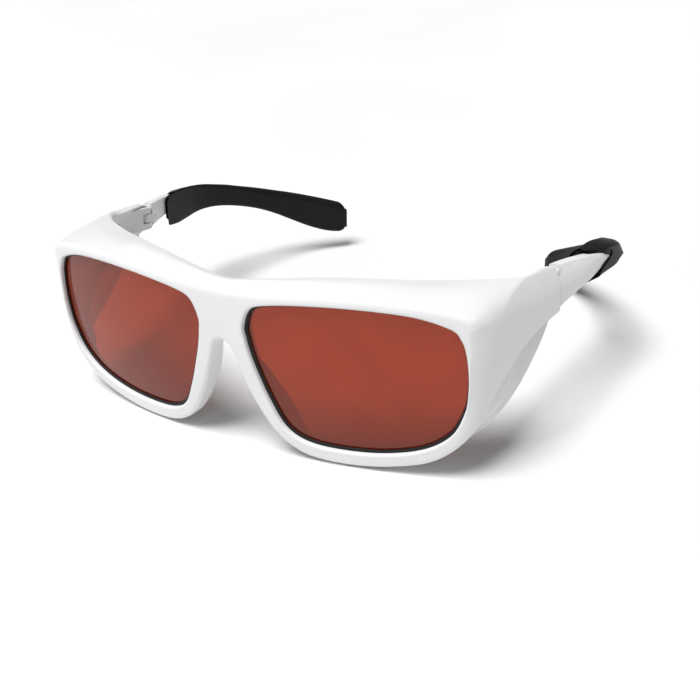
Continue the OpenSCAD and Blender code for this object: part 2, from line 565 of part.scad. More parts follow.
module front_solid() {
    difference() {
        union() {
            difference() {
                front_shell();
                translate([-front_w, seam_y, -front_w]) cube([2 * front_w, front_w, 2 * front_w]);
            }
            frame_lug();
            mirror([1, 0, 0]) frame_lug();
            nose_flange();
            mirror([1, 0, 0]) nose_flange();
        }
        frame_pocket();
        mirror([1, 0, 0]) frame_pocket();
    }
}

// On a table the rim's lower edge and the two tips carry the weight
rim_feet = [for (s = [12:1 / cuts:17]) for (j = [mid_a:mid_b]) rim_section(s)[j]];
tip_feet = [for (r = tip_skin(max(bend_left, bend_right))) for (p = r) p];
function tilted(p, a) = p.z * cos(a) - p.y * sin(a);
function lowest(pts, a) = let (v = [for (p = pts) tilted(p, a)], m = min(v))
    [for (i = [0:len(v) - 1]) if (v[i] <= m) pts[i]][0];
function lean_of(a, k) = k == 0 ? a : let (p = lowest(rim_feet, a), q = lowest(tip_feet, a))
    lean_of(atan((q.z - p.z) / (q.y - p.y)), k - 1);
rest_pitch = lean_of(8, 6);
rest_h = -tilted(lowest(concat(rim_feet, tip_feet), rest_pitch), rest_pitch);
rest_ys = [for (r = concat(sections, tip_skin(bend_left), tip_skin(bend_right))) for (p = r)
    p.y * cos(rest_pitch) + p.z * sin(rest_pitch)];
rest_y = (min(rest_ys) + max(rest_ys)) / 2;
module standing() {
    translate([0, -rest_y, rest_h]) rotate([-rest_pitch, 0, 0]) children();
}

module front_frame() {
    color(white) standing() front_solid();
}
module lens_left() {
    color(amber) standing() lens_solid();
}
module lens_right() {
    color(amber) standing() on_side_of(-1) lens_solid();
}
module lens_seal_left() {
    color(black) standing() seal_solid();
}
module lens_seal_right() {
    color(black) standing() on_side_of(-1) seal_solid();
}
module side_shield_left() {
    color(white) standing() side_shield_solid();
}
module side_shield_right() {
    color(white) standing() on_side_of(-1) side_shield_solid();
}
module temple_left() {
    color(white) standing() temple_solid(bend_left);
}
module temple_right() {
    color(white) standing() on_side_of(-1) temple_solid(bend_right);
}
module tip_left() {
    color(black) standing() tip_solid(bend_left);
}
module tip_right() {
    color(black) standing() on_side_of(-1) tip_solid(bend_right);
}
module tip_core_left() {
    color(steel) standing() core_bar(bend_left);
}
module tip_core_right() {
    color(steel) standing() on_side_of(-1) core_bar(bend_right);
}
module hinge_screw_left() {
    color(steel) standing() hinge_screw_solid();
}
module hinge_screw_right() {
    color(steel) standing() on_side_of(-1) hinge_screw_solid();
}
module hinge_insert_left() {
    color(brass) standing() hinge_insert_solid();
}
module hinge_insert_right() {
    color(brass) standing() on_side_of(-1) hinge_insert_solid();
}

front_frame();
lens_left();
lens_right();
lens_seal_left();
lens_seal_right();
side_shield_left();
side_shield_right();
temple_left();
temple_right();
tip_left();
tip_right();
tip_core_left();
tip_core_right();
hinge_screw_left();
hinge_screw_right();
hinge_insert_left();
hinge_insert_right();
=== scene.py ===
"""Laser safety glasses: white hooded front, orange-red filter lenses, black seals and soft tips.

Shapes are worked out as worn, in millimetres (X to the wearer's left, Y to the back of the
head, Z up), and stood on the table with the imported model's own hinge.
"""

import json
from math import atan2, cos, floor, pi, radians, sin, sqrt, tan

import bmesh
import bpy
from mathutils import Matrix, Vector


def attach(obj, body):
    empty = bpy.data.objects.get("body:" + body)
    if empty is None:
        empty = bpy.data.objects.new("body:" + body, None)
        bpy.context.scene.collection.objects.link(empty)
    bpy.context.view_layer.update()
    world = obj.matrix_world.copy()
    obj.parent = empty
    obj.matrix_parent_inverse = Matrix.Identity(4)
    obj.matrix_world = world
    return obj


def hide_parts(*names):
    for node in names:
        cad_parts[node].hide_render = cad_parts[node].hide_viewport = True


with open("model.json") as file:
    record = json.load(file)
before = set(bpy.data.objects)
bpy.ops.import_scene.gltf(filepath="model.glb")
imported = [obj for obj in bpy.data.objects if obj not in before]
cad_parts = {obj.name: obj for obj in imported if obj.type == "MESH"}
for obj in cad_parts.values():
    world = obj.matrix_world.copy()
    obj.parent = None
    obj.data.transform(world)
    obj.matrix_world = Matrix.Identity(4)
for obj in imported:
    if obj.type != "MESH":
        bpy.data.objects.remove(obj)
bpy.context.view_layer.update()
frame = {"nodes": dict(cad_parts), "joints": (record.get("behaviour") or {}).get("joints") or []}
nodes = frame["nodes"]
MM = 0.001

# Front
FRONT_HALF = 76.0
WRAP_R = 240.0
FACE_R = 320.0
FACE_TILT = radians(3.1)
BRIDGE_TOP = 1.8
BRIDGE_H = 16.1
RIM_DEPTH = 6.2
WALL_T = 2.2
BROW_ROUND = 2.2
CORNER_ROUND = 5.4
CORNER_FACE_ROUND = 3.4
CORNER_FLAT = 0.55
RIM_ROUND = 1.4
HOOD_DOME = 0.9
CORNER_Y = 13.0

# The crease along the side: its lowest point, how it climbs to both ends, and the lean above it
CREASE_LOW = -3.0
CREASE_Y = 57.0
CREASE_CLIMB_FRONT = 0.0018
CREASE_CLIMB_BACK = 0.0044
CREASE_SOFT = 0.4
LEAN = 0.22
LEAN_GROWTH = 0.033
SIDE_FROM_X = 60.0

# Lens and seal
LENS_W = 64.4
LENS_H = 46.1
LENS_GAP = 15.6
LENS_TOP = 1.6
LENS_T = 2.2
# Width of the seal's black band: SEAL_SHOW along the bottom and the nose side, where the wider
# black band is painted shade of the lens edge and groove; SEAL_THIN along the top and the outer
# side
SEAL_SHOW = 1.0
SEAL_T = 0.5
LIP_T = 1.5
LIP_ROUND = 0.7
SEAL_THIN = 0.55
GROOVE = 1.3
FIT = 0.08

# Side and hinge
SPLAY = radians(6.8)
SEAM_Y = 59.6
SEAM_GAP = 0.3
SHIELD_T = 1.4
SHIELD_GAP = 0.2
FLANGE_DEPTH = 5.4
FLANGE_T = 2.0
FLANGE_SPLAY = 2.0
KNUCKLE_R = 2.6
HINGE_IN = 4.4
HINGE_BACK = 1.2
HINGE_Y = SEAM_Y + HINGE_BACK
EAR_H = 2.2
KNUCKLE_H = 3.0
FOOT_H = 2.2
SCREW_R = 0.9
RUN_GAP = 0.05
HEAD_R = 1.6
HEAD_H = 0.9
INSERT_R = 1.6
INSERT_H = 1.5
WEB_LEN = 14.0
LUG_END = 1.2
PILLAR_SOFT = 0.25
PILLAR_N = 64

# Temple and tip
TEMPLE_TOP = 3.4
TEMPLE_CLIMB = 2.4
TEMPLE_DROP = 5.3
TEMPLE_H = 12.0
TEMPLE_END = 94.8
TEMPLE_END_H = 3.2
TEMPLE_BOW = 1.0
TEMPLE_T = 7.0
TEMPLE_END_T = 3.6
TEMPLE_NOSE = 2.4
TEMPLE_ROUND = 0.7
# Lift of the inner lower edge, at the seam and at the temple's end
TEMPLE_RISE = 3.0
TEMPLE_END_RISE = 0.2
# Lift of the whole underside towards the temple's end
UNDER_LIFT = 0.9
MOUTH_Y = 75.0
CURL_Y = 89.5
TIP_LEN = 80.0
TIP_TURN = radians(54)
PADDLE_T = 4.2
LAP = 6.4
PROUD = 0.6
TIP_ROUND = 4.0
# How each tip was bent by hand: down at its end, in at its end, and a tilt of its collar's top
BEND = {1: 9.0, -1: 0.0}
CURL = {1: 1.5, -1: 0.0}
ROLL = {1: 0.16, -1: 0.0}
SLANT = 1.5
NOTCH = 1.1
CUT_FADE = 5.0
CUP_GAP = 0.25
CUP_SLOPE = -0.25
CUP_ROUND = 0.8
CUP_ROOM_UP = 0.5
CUP_NARROW = 2.6
MOUTH_TRIM = 0.7
MOUTH_ROW = 0.2

# Places along half the rim and its opening are numbered by the points of the two outlines:
# 0 is over the bridge, LAST under it, and the opening's own loop closes at PLACES
PLACES = 22
LAST = 20


def face_y(x, z):
    """Depth of the face behind the bridge, at a place on the front seen from ahead."""
    return WRAP_R - sqrt(WRAP_R ** 2 - x * x) + z * z / (2 * FACE_R) - z * tan(FACE_TILT)


def wall_x(y):
    """Where the outer wall stands at a distance behind the bridge."""
    return FRONT_HALF + (y - CORNER_Y) * tan(SPLAY)


def mix(a, b, u):
    return a + (b - a) * u


def ease(a, b, u):
    t = min(1.0, max(0.0, (u - a) / (b - a)))
    return t * t * (3 - 2 * t)


def cubic(a, b, c, d, u):
    return 0.5 * (2 * b + (c - a) * u + (2 * a - 5 * b + 4 * c - d) * u * u
                  + (3 * b - a - 3 * c + d) * u ** 3)


def loop_at(points, s):
    """A place on a smooth closed curve through the points."""
    n = len(points)
    i = floor(s)
    a, b, c, d = [points[(i + k) % n] for k in (-1, 0, 1, 2)]
    return cubic(a, b, c, d, s - i)


def line_at(points, s, before=None, after=None):
    """A place on a smooth open curve through the points."""
    n = len(points)
    i = min(n - 2, max(0, floor(s)))
    first = before if before is not None else 2 * points[0] - points[1]
    final = after if after is not None else 2 * points[-1] - points[-2]
    a = first if i == 0 else points[i - 1]
    d = final if i == n - 2 else points[i + 2]
    return cubic(a, points[i], points[i + 1], d, s - i)


LENS_SHAPE = [
    (0.039, 0.1), (0.127, 0.054), (0.329, 0.017), (0.562, 0), (0.78, 0.011), (0.927, 0.065),
    (0.969, 0.128), (0.988, 0.208), (0.998, 0.328), (0.998, 0.458), (0.984, 0.599),
    (0.927, 0.772), (0.811, 0.898), (0.637, 0.972), (0.438, 1), (0.267, 0.985),
    (0.163, 0.902), (0.096, 0.722), (0.048, 0.54), (0.019, 0.41), (0.005, 0.312), (0, 0.219)]
lens_pts = [Vector((LENS_GAP / 2 + u * LENS_W, LENS_TOP - v * LENS_H)) for u, v in LENS_SHAPE]
OVER = [(-2, 3.3), (0, 3), (1, 3.1), (3, 3.1)]
SIDE = [(-4.5, 3.9), (-1.4, 4.5), (-0.1, 4), (0.1, 2.5), (-0.1, 0.5), (-1.4, -2), (-5.5, -2.5)]
UNDER = [(2.5, -3.6), (1.2, -4.3), (0, -4.7), (-1, -4.4), (-2.7, -3), (-4.4, -1.8),
         (-5.3, -0.7), (-6.2, 1.3)]
rim_pts = ([Vector((0, BRIDGE_TOP))]
           + [lens_pts[1 + i] + Vector(OVER[i]) for i in range(4)]
           + [Vector((FRONT_HALF + SIDE[i][0], lens_pts[5 + i].y + SIDE[i][1])) for i in range(7)]
           + [lens_pts[12 + i] + Vector(UNDER[i]) for i in range(8)]
           + [Vector((0, BRIDGE_TOP - BRIDGE_H))])
PAST_SEAM = SEAM_Y + 3.4
HOOD_EDGE = [(0, 6.2, 4), (0.171, 8.9, 4.9), (0.355, 12.8, 6.3), (0.54, 19, 6.3),
             (0.71, 25, 6.2), (0.888, 33.5, 6.2), (1.016, 45, 5.2)]
WALL_EDGE = [(-10.6, -9.9), (-24.0, -14.2), (-33.4, -26.2)]
back_pts = ([Vector((u * FRONT_HALF, y, z)) for u, y, z in HOOD_EDGE]
            + [Vector((wall_x(PAST_SEAM), PAST_SEAM, z))
               for z in (TEMPLE_TOP - 0.4, TEMPLE_TOP - TEMPLE_H + 0.45)]
            + [Vector((wall_x(SEAM_Y + y), SEAM_Y + y, z)) for y, z in WALL_EDGE]
            + [Vector((p.x, face_y(p.x, p.y) + RIM_DEPTH, p.y)) for p in rim_pts[12:]])


def flipped(v):
    w = v.copy()
    w.x = -w.x
    return w


def opening(s):
    return loop_at(lens_pts, s)


def rim(s):
    return line_at(rim_pts, s, flipped(rim_pts[1]), flipped(rim_pts[-2]))


def back(s):
    return line_at(back_pts, s, flipped(back_pts[1]), flipped(back_pts[-2]))


def outward(d):
    return Vector((-d.y, d.x)).normalized()


STEP = 0.01


def opening_out(s):
    return outward(opening(s + STEP) - opening(s - STEP + PLACES))


def rim_out(s):
    if s < STEP:
        return Vector((0, 1))
    if s > LAST - STEP:
        return Vector((0, -1))
    return outward(rim(s + STEP) - rim(s - STEP))


def set_in(p, depth):
    """A place seen from ahead, at a depth behind the face."""
    return Vector((p.x, face_y(p.x, p.y) + depth, p.y))


def near_opening(s, r, depth):
    return set_in(opening(s) + opening_out(s) * r, depth)


def on_side(s):
    """How far a place of the rim belongs to the side wall."""
    return ease(4.5, 7, s) * (1 - ease(9.5, 12, s))


def on_top(s):
    """How far a place of the rim belongs to the brow."""
    return 1 - ease(5, 7, s)


def face_round(s):
    """Width of the rounded corner, measured on the face."""
    return mix(mix(RIM_ROUND, BROW_ROUND, on_top(s)), CORNER_FACE_ROUND, on_side(s))


def skin_round(s):
    """Width of the rounded corner, measured on the outer skin."""
    return mix(mix(RIM_ROUND, BROW_ROUND, on_top(s)), CORNER_ROUND, on_side(s))


def crease_z(y):
    """Height of the crease along the side, above which the wall leans inwards."""
    climb = CREASE_CLIMB_FRONT if y < CREASE_Y else CREASE_CLIMB_BACK
    return CREASE_LOW + (y - CREASE_Y) ** 2 * climb


def slope_in(h):
    """How far the side leans in at a height above its crease."""
    soft = h * h / (h + CREASE_SOFT) if h > 0 else 0.0
    return LEAN * soft + LEAN_GROWTH * soft * soft


def side_shift(p):
    """Moves a place of the outer skin in to where the side leans above its crease."""
    if p.y <= CORNER_Y or p.x <= SIDE_FROM_X:
        return Vector()
    goal = wall_x(p.y) - slope_in(p.z - crease_z(p.y))
    return Vector((min(0.0, goal - p.x), 0, 0))


def dome(s, u):
    """Bulge of the hood over the brow."""
    return HOOD_DOME * on_top(s) * ease(0, 1.2, s + 0.6) * sin(pi * u)


GROOVE_END = LIP_T + LENS_T + 2 * SEAL_T + 4 * FIT
FACE_STEPS = (0.12, 0.28, 0.46, 0.64, 0.82)
CORNER_N = 8
SKIN_N = 24
EDGE_N = 8
INNER_N = 8


def corner_pt(s, u):
    """Turned corner from the face to the outer skin, flatter at the outer side."""
    q, n = rim(s), rim_out(s)
    a = set_in(q - n * face_round(s), 0)
    b = set_in(q, 0)
    c = b + (back(s) - b).normalized() * skin_round(s)
    b = b.lerp((a + c) / 2, CORNER_FLAT * ease(5.8, 7.2, s) * (1 - ease(8.8, 10.5, s)))
    return a * (1 - u) ** 2 + b * (2 * u * (1 - u)) + c * u * u


def across(n):
    """A direction seen from ahead, as one in space."""
    return Vector((n.x, 0, n.y))


def skin_pt(s, u, rest):
    """Outer skin, stopping short of the back edge by a rest."""
    n, a, b = rim_out(s), corner_pt(s, 1), back(s)
    b = b - (b - a).normalized() * rest
    p = mix(a, b, u) + across(n) * dome(s, u)
    return p + side_shift(p)


def edge_pt(s, u, rest):
    """Rounded back edge of the hood and side wall, from the outer skin to the inner one."""
    n, a, b = across(rim_out(s)), corner_pt(s, 1), back(s)
    way = (b - a).normalized()
    middle = b - way * rest - n * (WALL_T / 2) + side_shift(b)
    turn = pi * u
    free = 1 - ease(11.2, 12.2, s)
    round_pt = middle + n * (WALL_T / 2 * cos(turn)) + way * (rest * sin(turn))
    flat_pt = middle + n * (WALL_T / 2 * cos(turn)) + way * rest
    return mix(flat_pt, round_pt, free) if u > 0.5 else round_pt


def inner_pt(s, u, rest):
    """Inner skin, from the back edge to the rim behind the lens."""
    n = rim_out(s)
    q = set_in(rim(s) - n * WALL_T, RIM_DEPTH)
    start = edge_pt(s, 1, rest) - side_shift(back(s))
    outer = mix(corner_pt(s, 1), back(s), 1 - u)
    return mix(start, q, u) + across(n) * dome(s, 1 - u) + side_shift(outer) * (1 - ease(0.6, 1, u))


def lip_points(s):
    """Rounded lip of the opening, in front of the groove."""
    quarter = [(LIP_ROUND * (1 - cos(a)), LIP_ROUND * (1 - sin(a)))
               for a in (0, pi / 8, pi / 4, 3 * pi / 8, pi / 2)]
    return [near_opening(s, 0, LIP_T)] + [near_opening(s, r, d) for r, d in quarter]


def rear_points(s):
    """Back of the rim and the groove that holds the seal."""
    return [near_opening(s, GROOVE + 0.3, RIM_DEPTH), near_opening(s, 0.25, RIM_DEPTH - 0.12),
            near_opening(s, 0, RIM_DEPTH - 0.4), near_opening(s, 0, GROOVE_END),
            near_opening(s, GROOVE, GROOVE_END), near_opening(s, GROOVE, LIP_T)]


def rim_section(s):
    """One closed section of the front: lip, face, outer skin, inner skin and groove."""
    rest = WALL_T / 2
    start = opening(s) + opening_out(s) * LIP_ROUND
    end = rim(s) - rim_out(s) * face_round(s)
    return (lip_points(s) + [set_in(start.lerp(end, f), 0) for f in FACE_STEPS]
            + [corner_pt(s, k / CORNER_N) for k in range(CORNER_N + 1)]
            + [skin_pt(s, k / SKIN_N, rest) for k in range(1, SKIN_N)]
            + [edge_pt(s, k / EDGE_N, rest) for k in range(EDGE_N + 1)]
            + [inner_pt(s, k / INNER_N, rest) for k in range(1, INNER_N + 1)]
            + rear_points(s))


MID_A = 6 + len(FACE_STEPS)
MID_B = MID_A + CORNER_N + SKIN_N + EDGE_N + INNER_N


def bridge_section(s):
    """Over the bridge the section ends on the plane of symmetry."""
    u = (s - LAST) / (PLACES - LAST)
    low, top = rim_section(LAST), rim_section(0)
    front = Vector((0, mix(low[MID_A].z, top[MID_A].z, u)))
    rear = Vector((0, mix(low[MID_B].z, top[MID_B].z, u)))
    start = opening(s) + opening_out(s) * LIP_ROUND
    return (lip_points(s) + [set_in(start.lerp(front, f), 0) for f in FACE_STEPS]
            + [set_in(front, 0)] * (MID_B - MID_A) + [set_in(rear, RIM_DEPTH)]
            + rear_points(s))


EAR_TOP = TEMPLE_TOP - 0.6
EAR_LOW = EAR_TOP - EAR_H
PIN_TOP = EAR_LOW - SEAM_GAP
PIN_LOW = PIN_TOP - KNUCKLE_H
FOOT_TOP = PIN_LOW - SEAM_GAP
FOOT_LOW = FOOT_TOP - FOOT_H

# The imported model's own hinge says how the glasses lean on the table
hinge = next(j for j in frame["joints"] if j["name"] == "fold_left")
hinge_x = wall_x(HINGE_Y) - HINGE_IN
lean = atan2(hinge["axis"][1], hinge["axis"][2])
turn = Matrix.Rotation(-lean, 4, "X")
shift = Vector(hinge["pos_m"]) - turn @ Vector((hinge_x, HINGE_Y, (PIN_LOW + PIN_TOP) / 2)) * MM
STAND = Matrix.Translation(shift) @ turn @ Matrix.Scale(MM, 4)

SMOOTH = radians(38)


def finish_piece(bm, name, material, body):
    """The bmesh becomes a piece of that body, stood on the table and softly shaded."""
    bm.normal_update()
    for f in bm.faces:
        f.smooth = True
    for e in bm.edges:
        e.smooth = len(e.link_faces) == 2 and e.calc_face_angle(0) < SMOOTH
    bmesh.ops.transform(bm, matrix=STAND, verts=bm.verts)
    mesh = bpy.data.meshes.new(name)
    bm.to_mesh(mesh)
    bm.free()
    piece = bpy.data.objects.new(name, mesh)
    bpy.context.scene.collection.objects.link(piece)
    mesh.materials.append(material)
    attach(piece, body)
    return piece


def grid(rows, columns, at, close_rows=False, close_columns=False):
    """A grid of faces moved into shape: at(row, column) gives each corner."""
    bm = bmesh.new()
    bmesh.ops.create_grid(bm, x_segments=columns, y_segments=rows, size=1)
    for v in bm.verts:
        c = round((v.co.x + 1) / 2 * columns)
        r = round((v.co.y + 1) / 2 * rows)
        v.co = at(r % rows if close_rows else r, c % columns if close_columns else c)
    bmesh.ops.remove_doubles(bm, verts=bm.verts, dist=1e-5)
    return bm


def cap(bm):
    """Fills the open ends and turns the faces outwards."""
    bmesh.ops.holes_fill(bm, edges=[e for e in bm.edges if e.is_boundary], sides=0)
    bmesh.ops.recalc_face_normals(bm, faces=bm.faces)


def mirrored(bm, side):
    """The same shape on the right when the side is below zero."""
    if side < 0:
        bmesh.ops.scale(bm, vec=(-1, 1, 1), verts=bm.verts)
        bmesh.ops.reverse_faces(bm, faces=bm.faces)
    return bm


def add(tree, kind, inputs=None, **settings):
    """A node with its settings; an input given as a socket is linked to it."""
    node = tree.nodes.new(kind)
    for key, value in settings.items():
        setattr(node, key, value)
    for key, value in (inputs or {}).items():
        if isinstance(value, bpy.types.NodeSocket):
            tree.links.new(value, node.inputs[key])
        else:
            node.inputs[key].default_value = value
    return node


NOISE_LOW, NOISE_HIGH = 0.3, 0.7


def spread(tree, value, low, high):
    """A value of middling noise, spread from low to high."""
    return add(tree, "ShaderNodeMapRange",
               {"Value": value, "From Min": NOISE_LOW, "From Max": NOISE_HIGH,
                "To Min": low, "To Max": high}).outputs["Result"]


def tint(tree, value, dark, light):
    """A colour between two, by a value of middling noise."""
    ramp = add(tree, "ShaderNodeValToRGB", {"Fac": value})
    ends = ramp.color_ramp.elements
    for end_at, place, colour in ((ends[0], NOISE_LOW, dark), (ends[1], NOISE_HIGH, light)):
        end_at.position = place
        end_at.color = (*colour, 1)
    return ramp.outputs["Color"]


def effect(name, inputs, outputs):
    """An empty node group with its named sockets."""
    group = bpy.data.node_groups.new(name, "ShaderNodeTree")
    for label, kind in inputs:
        group.interface.new_socket(label, in_out="INPUT", socket_type=kind)
    for label in outputs:
        group.interface.new_socket(label, in_out="OUTPUT", socket_type="NodeSocketFloat")
    return group, group.nodes.new("NodeGroupInput").outputs, group.nodes.new("NodeGroupOutput")


def moulded_skin():
    """Fine grain of a mould's wall, and the slow change of gloss where the material flowed."""
    group, given, result = effect("moulded_skin", (("Place", "NodeSocketVector"),
                                                   ("Grain", "NodeSocketFloat"),
                                                   ("Flow", "NodeSocketFloat")), ("Grain", "Flow"))
    fine = add(group, "ShaderNodeTexNoise", {"Vector": given["Place"], "Scale": given["Grain"],
                                             "Detail": 3.0, "Roughness": 0.6})
    slow = add(group, "ShaderNodeTexNoise", {"Vector": given["Place"], "Scale": given["Flow"],
                                             "Detail": 2.0, "Roughness": 0.5, "Distortion": 0.6})
    group.links.new(fine.outputs["Fac"], result.inputs["Grain"])
    group.links.new(slow.outputs["Fac"], result.inputs["Flow"])
    return group


def hairlines():
    """Fine lines that a tool or a cloth leaves, and cloudy marks of handling between them."""
    group, given, result = effect("hairlines", (("Place", "NodeSocketVector"),
                                                ("Stretch", "NodeSocketVector"),
                                                ("Marks", "NodeSocketFloat")), ("Lines", "Marks"))
    along = add(group, "ShaderNodeMapping", {"Vector": given["Place"], "Scale": given["Stretch"]})
    lines = add(group, "ShaderNodeTexNoise", {"Vector": along.outputs["Vector"], "Scale": 1000.0,
                                              "Detail": 2.0, "Roughness": 0.5})
    marks = add(group, "ShaderNodeTexNoise", {"Vector": given["Place"], "Scale": given["Marks"],
                                              "Detail": 3.0, "Distortion": 1.2})
    group.links.new(lines.outputs["Fac"], result.inputs["Lines"])
    group.links.new(marks.outputs["Fac"], result.inputs["Marks"])
    return group


SKIN = moulded_skin()
LINES = hairlines()


def new_material(name, **values):
    """A Principled material with its even values set on the shader's own sockets."""
    m = bpy.data.materials.new(name)
    m.use_nodes = True
    shader = m.node_tree.nodes["Principled BSDF"]
    for key, value in values.items():
        shader.inputs[key.replace("_", " ")].default_value = value
    place = add(m.node_tree, "ShaderNodeTexCoord").outputs["Object"]
    return m, m.node_tree, shader, place


def feed(tree, shader, colour, roughness, height, depth, strength):
    """Colour, gloss and fine relief led to a material's shader."""
    tree.links.new(colour, shader.inputs["Base Color"])
    tree.links.new(roughness, shader.inputs["Roughness"])
    bump = add(tree, "ShaderNodeBump", {"Height": height, "Distance": depth, "Strength": strength})
    tree.links.new(bump.outputs["Normal"], shader.inputs["Normal"])


def moulded(name, dark, light, rough, grain, flow, depth, strength, **values):
    """A moulded plastic or rubber: two near tones, a changing gloss and a grained skin."""
    m, tree, shader, place = new_material(name, **values)
    skin = add(tree, "ShaderNodeGroup", node_tree=SKIN)
    tree.links.new(place, skin.inputs["Place"])
    skin.inputs["Grain"].default_value = grain
    skin.inputs["Flow"].default_value = flow
    feed(tree, shader, tint(tree, skin.outputs["Flow"], dark, light),
         spread(tree, skin.outputs["Flow"], *rough), skin.outputs["Grain"], depth, strength)
    return m


def wiped(name, dark, light, rough, stretch, marks, depth, strength, **values):
    """Glass or metal: two near tones and a gloss dulled by lines and marks."""
    m, tree, shader, place = new_material(name, **values)
    wipe = add(tree, "ShaderNodeGroup", node_tree=LINES)
    tree.links.new(place, wipe.inputs["Place"])
    wipe.inputs["Stretch"].default_value = stretch
    wipe.inputs["Marks"].default_value = marks
    feed(tree, shader, tint(tree, wipe.outputs["Marks"], dark, light),
         spread(tree, wipe.outputs["Marks"], *rough), wipe.outputs["Lines"], depth, strength)
    return m


white = moulded("frame_white", (0.775, 0.78, 0.785), (0.815, 0.818, 0.82), (0.3, 0.4),
                3200.0, 38.0, 0.00003, 0.25)
wall_white = moulded("shield_white", (0.765, 0.77, 0.775), (0.8, 0.803, 0.805), (0.36, 0.46),
                     2600.0, 30.0, 0.00003, 0.3)
seal_rubber = moulded("seal_black", (0.008, 0.008, 0.0085), (0.014, 0.014, 0.0145), (0.5, 0.65),
                      2400.0, 60.0, 0.00004, 0.4, Specular_IOR_Level=0.3)
tip_rubber = moulded("tip_black", (0.004, 0.004, 0.0045), (0.009, 0.009, 0.0095), (0.42, 0.58),
                     1500.0, 45.0, 0.00006, 0.5, Specular_IOR_Level=0.2)
filter_glass = wiped("filter_glass", (0.36, 0.034, 0.002), (0.4, 0.039, 0.003), (0.0, 0.035),
                     (1.0, 1.0, 1.0), 55.0, 0.000001, 0.05, Transmission_Weight=0.7, IOR=1.5,
                     Specular_IOR_Level=0.3)
core_steel = wiped("core_steel", (0.5, 0.5, 0.51), (0.6, 0.6, 0.61), (0.24, 0.38),
                   (8.0, 0.4, 8.0), 300.0, 0.000008, 0.3, Metallic=1.0)
screw_steel = wiped("screw_steel", (0.5, 0.5, 0.51), (0.64, 0.64, 0.65), (0.2, 0.34),
                    (6.0, 6.0, 0.6), 600.0, 0.000008, 0.35, Metallic=1.0)
insert_brass = wiped("insert_brass", (0.62, 0.42, 0.17), (0.76, 0.55, 0.26), (0.26, 0.42),
                     (0.6, 0.6, 8.0), 500.0, 0.000008, 0.35, Metallic=1.0)
floor_paint = moulded("pale_floor", (0.8, 0.8, 0.8), (0.83, 0.83, 0.83), (0.6, 0.75),
                      60.0, 3.0, 0.00005, 0.2)

# Sections to each numbered place, and the stretch of the outer corner that gets more
COLUMNS_EACH = 10
CORNER_COLUMNS = range(60, 85)


def front_shell():
    """The white front: one half's ring of sections, mirrored across the bridge."""
    places = [k / COLUMNS_EACH for k in range(PLACES * COLUMNS_EACH)]
    places += [k / COLUMNS_EACH + part for k in CORNER_COLUMNS for part in (0.033, 0.067)]
    places.sort()
    columns = len(places)
    rings = [rim_section(s) if s <= LAST else bridge_section(s) for s in places]
    for s, ring in zip(places, rings):
        if s >= LAST or s == 0:
            for j in range(MID_A, MID_B + 1):
                ring[j].x = 0
    bm = grid(columns, len(rings[0]), lambda r, c: rings[r][c], True, True)
    flat = [f for f in bm.faces if all(abs(v.co.x) < 1e-6 for v in f.verts)]
    bmesh.ops.delete(bm, geom=flat, context="FACES")
    bmesh.ops.mirror(bm, geom=bm.verts[:] + bm.edges[:] + bm.faces[:], axis="X", merge_dist=1e-4)
    bmesh.ops.remove_doubles(bm, verts=bm.verts, dist=1e-4)
    bmesh.ops.bisect_plane(bm, geom=bm.verts[:] + bm.edges[:] + bm.faces[:], dist=1e-5,
                           plane_co=(0, SEAM_Y, 0), plane_no=(0, 1, 0), clear_outer=True)
    cap(bm)
    return bm


def swept(rows):
    """A bar of closed sections with equal counts of points, its two ends filled."""
    n, m = len(rows), len(rows[0])
    bm = grid(n - 1, m, lambda r, c: rows[r][c % m])
    bmesh.ops.remove_doubles(bm, verts=bm.verts, dist=1e-4)
    cap(bm)
    return bm


def at_hinge(bm):
    bmesh.ops.translate(bm, vec=(hinge_x, HINGE_Y, 0), verts=bm.verts)
    return bm


def pillar(r, low, high, soft=0.0):
    """A round post on the hinge's axis, with its two rims softened."""
    bm = bmesh.new()
    bmesh.ops.create_cone(bm, cap_ends=True, segments=PILLAR_N, radius1=r, radius2=r,
                          depth=high - low)
    bmesh.ops.translate(bm, vec=(0, 0, (low + high) / 2), verts=bm.verts)
    if soft:
        rims = [e for e in bm.edges if abs(e.verts[0].co.z - e.verts[1].co.z) < 1e-6]
        bmesh.ops.bevel(bm, geom=rims, offset=soft, segments=3, profile=0.5, affect="EDGES",
                        material=-1)
    return at_hinge(bm)


def block(low, high):
    """A box between two corners, given from the hinge's axis."""
    bm = bmesh.new()
    bmesh.ops.create_cube(bm, size=1)
    size = [high[k] - low[k] for k in range(3)]
    bmesh.ops.scale(bm, vec=size, verts=bm.verts)
    bmesh.ops.translate(bm, vec=[(high[k] + low[k]) / 2 for k in range(3)], verts=bm.verts)
    return at_hinge(bm)


def scratch(bm):
    """A passing object that a boolean step can work on."""
    bm.normal_update()
    mesh = bpy.data.meshes.new("scratch")
    bm.to_mesh(mesh)
    bm.free()
    held = bpy.data.objects.new("scratch", mesh)
    bpy.context.scene.collection.objects.link(held)
    return held


def combined(bm, steps):
    """Boolean unions and cuts on a bmesh, as (operation, bmesh) steps; gives a bmesh back."""
    body = scratch(bm)
    tools = []
    for operation, tool_bm in steps:
        tool = scratch(tool_bm)
        tools.append(tool)
        m = body.modifiers.new("step", "BOOLEAN")
        m.operation = operation
        m.solver = "EXACT"
        m.object = tool
    shape = body.evaluated_get(bpy.context.evaluated_depsgraph_get())
    result = bmesh.new()
    result.from_mesh(shape.to_mesh())
    for o in [body] + tools:
        mesh = o.data
        bpy.data.objects.remove(o)
        bpy.data.meshes.remove(mesh)
    bmesh.ops.remove_doubles(result, verts=result.verts, dist=1e-4)
    bmesh.ops.dissolve_degenerate(result, edges=result.edges, dist=1e-4)
    return result


